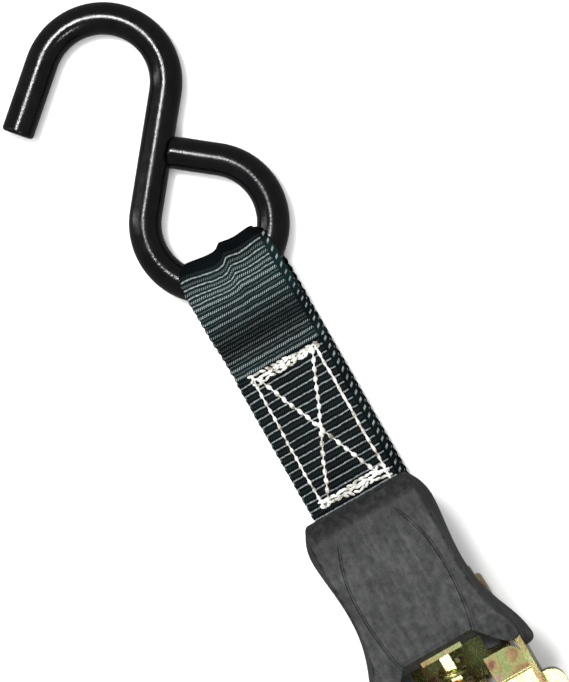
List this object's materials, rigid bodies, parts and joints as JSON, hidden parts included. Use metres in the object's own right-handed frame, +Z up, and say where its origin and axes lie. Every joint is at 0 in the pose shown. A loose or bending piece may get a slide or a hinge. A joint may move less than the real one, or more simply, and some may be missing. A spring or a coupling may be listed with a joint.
{
  "type": "ratchet strap",
  "caption": "Fixed end of a ratchet strap: coated S-hook, short sewn webbing loop and a ratchet with a rubber-covered handle, wheels, pawls and slotted drum.",
  "frame": {"origin": "centre of the base's flat underside", "axes": "+X along the webbing from the hook towards the drum, +Y across the webbing, +Z up from the surface it lies on"},
  "size_m": [0.2348, 0.0533, 0.0332],
  "materials": {
    "hook_steel": "bare steel",
    "hook_vinyl": "dipped black vinyl, glossy",
    "webbing": "ribbed polyester webbing, black with a dark teal tint",
    "thread": "white polyester thread",
    "zinc_yellow": "yellow zinc plating with pink and green tints",
    "zinc_pawl": "yellow zinc plating, bright",
    "spring_steel": "yellow zinc plated wire",
    "grip_rubber": "matt dark grey, slightly mottled"
  },
  "bodies": {
    "base": {"base_frame": "zinc_yellow", "strap_pin": "zinc_yellow", "stop_pawl_spring": "spring_steel"},
    "handle": {"handle_frame": "zinc_yellow", "handle_grip": "grip_rubber", "drive_pawl_spring": "spring_steel"},
    "drive_pawl": {"drive_pawl": "zinc_pawl"},
    "stop_pawl": {"stop_pawl": "zinc_pawl"},
    "drum": {"drum_half_upper": "zinc_yellow", "drum_half_lower": "zinc_yellow", "ratchet_wheel_left": "zinc_pawl", "ratchet_wheel_right": "zinc_pawl", "washer_left": "zinc_yellow", "washer_right": "zinc_yellow", "cotter_pin_left": "spring_steel", "cotter_pin_right": "spring_steel"},
    "strap": {"short_strap_sewn": "webbing", "box_stitch": "thread"},
    "hook": {"hook_wire": "hook_steel", "hook_coating": "hook_vinyl", "short_strap_hook_loop": "webbing"}
  },
  "joints": [
    {"name": "handle_swing", "type": "hinge", "parent": "base", "child": "handle", "pos_m": [0.02, 0, 0.017], "axis": [0, 1, 0], "range_deg": [0, 180]},
    {"name": "drum_spin", "type": "hinge", "parent": "base", "child": "drum", "pos_m": [0.02, 0, 0.017], "axis": [0, 1, 0], "continuous": true},
    {"name": "drive_pawl_slide", "type": "slide", "parent": "handle", "child": "drive_pawl", "axis": [-0.9781, 0, 0.2079], "range_m": [-0.0029, 0.002], "stiffness_N_per_m": 300, "deforming": ["drive_pawl_spring"]},
    {"name": "stop_pawl_slide", "type": "slide", "parent": "base", "child": "stop_pawl", "axis": [-0.9511, 0, -0.309], "range_m": [0, 0.0036], "deforming": ["stop_pawl_spring"]},
    {"name": "strap_swing", "type": "hinge", "parent": "base", "child": "strap", "pos_m": [-0.03, 0, 0.008], "axis": [0, 1, 0], "range_deg": [-20, 15]},
    {"name": "hook_swing", "type": "hinge", "parent": "strap", "child": "hook", "pos_m": [-0.1041, 0, 0.0014], "axis": [0, 1, 0], "range_deg": [-90, 90]}
  ],
  "couplings": [
    {"joint": "stop_pawl_slide", "follows": "handle_swing", "m_per_rad": 0.001145}
  ]
}
